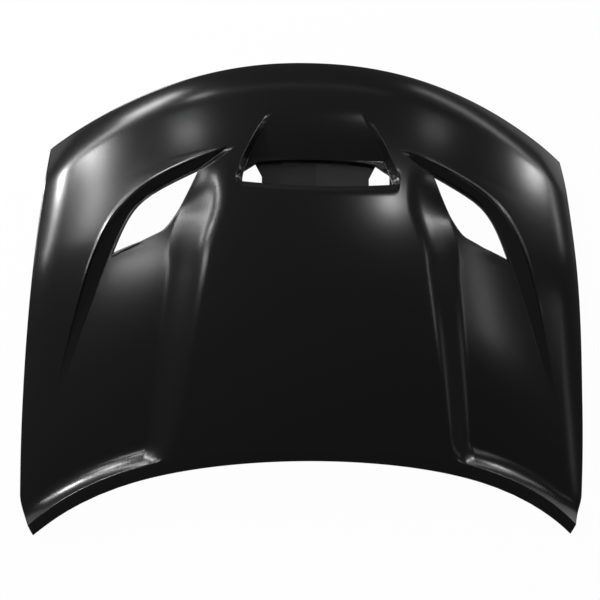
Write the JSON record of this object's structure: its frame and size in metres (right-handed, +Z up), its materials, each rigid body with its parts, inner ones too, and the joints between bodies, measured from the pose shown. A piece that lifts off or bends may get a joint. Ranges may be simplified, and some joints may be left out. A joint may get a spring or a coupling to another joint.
{
  "type": "car bonnet with centre scoop and side vents",
  "caption": "Complete car bonnet in black primer: crowned pressed skin with a centre scoop, creased side vents and a pressed inner frame with hinge and latch pads.",
  "frame": {"origin": "under the middle of the panel, on the plane it rests on", "axes": "+X to the right and +Y to the nose seen from above, +Z up out of the painted face"},
  "size_m": [1.582, 1.3036, 0.2149],
  "materials": {
    "skin_primer": "satin black electro-coat primer",
    "frame_primer": "satin black electro-coat primer",
    "plate_primer": "satin black electro-coat primer",
    "nut_steel": "zinc-plated",
    "mastic": "cured mastic"
  },
  "bodies": {
    "root": {"outer_skin": "skin_primer", "inner_frame": "frame_primer", "hinge_plate_left": "plate_primer", "hinge_plate_right": "plate_primer", "latch_plate": "plate_primer", "weld_nuts": "nut_steel", "mastic_dabs": "mastic"}
  },
  "joints": []
}
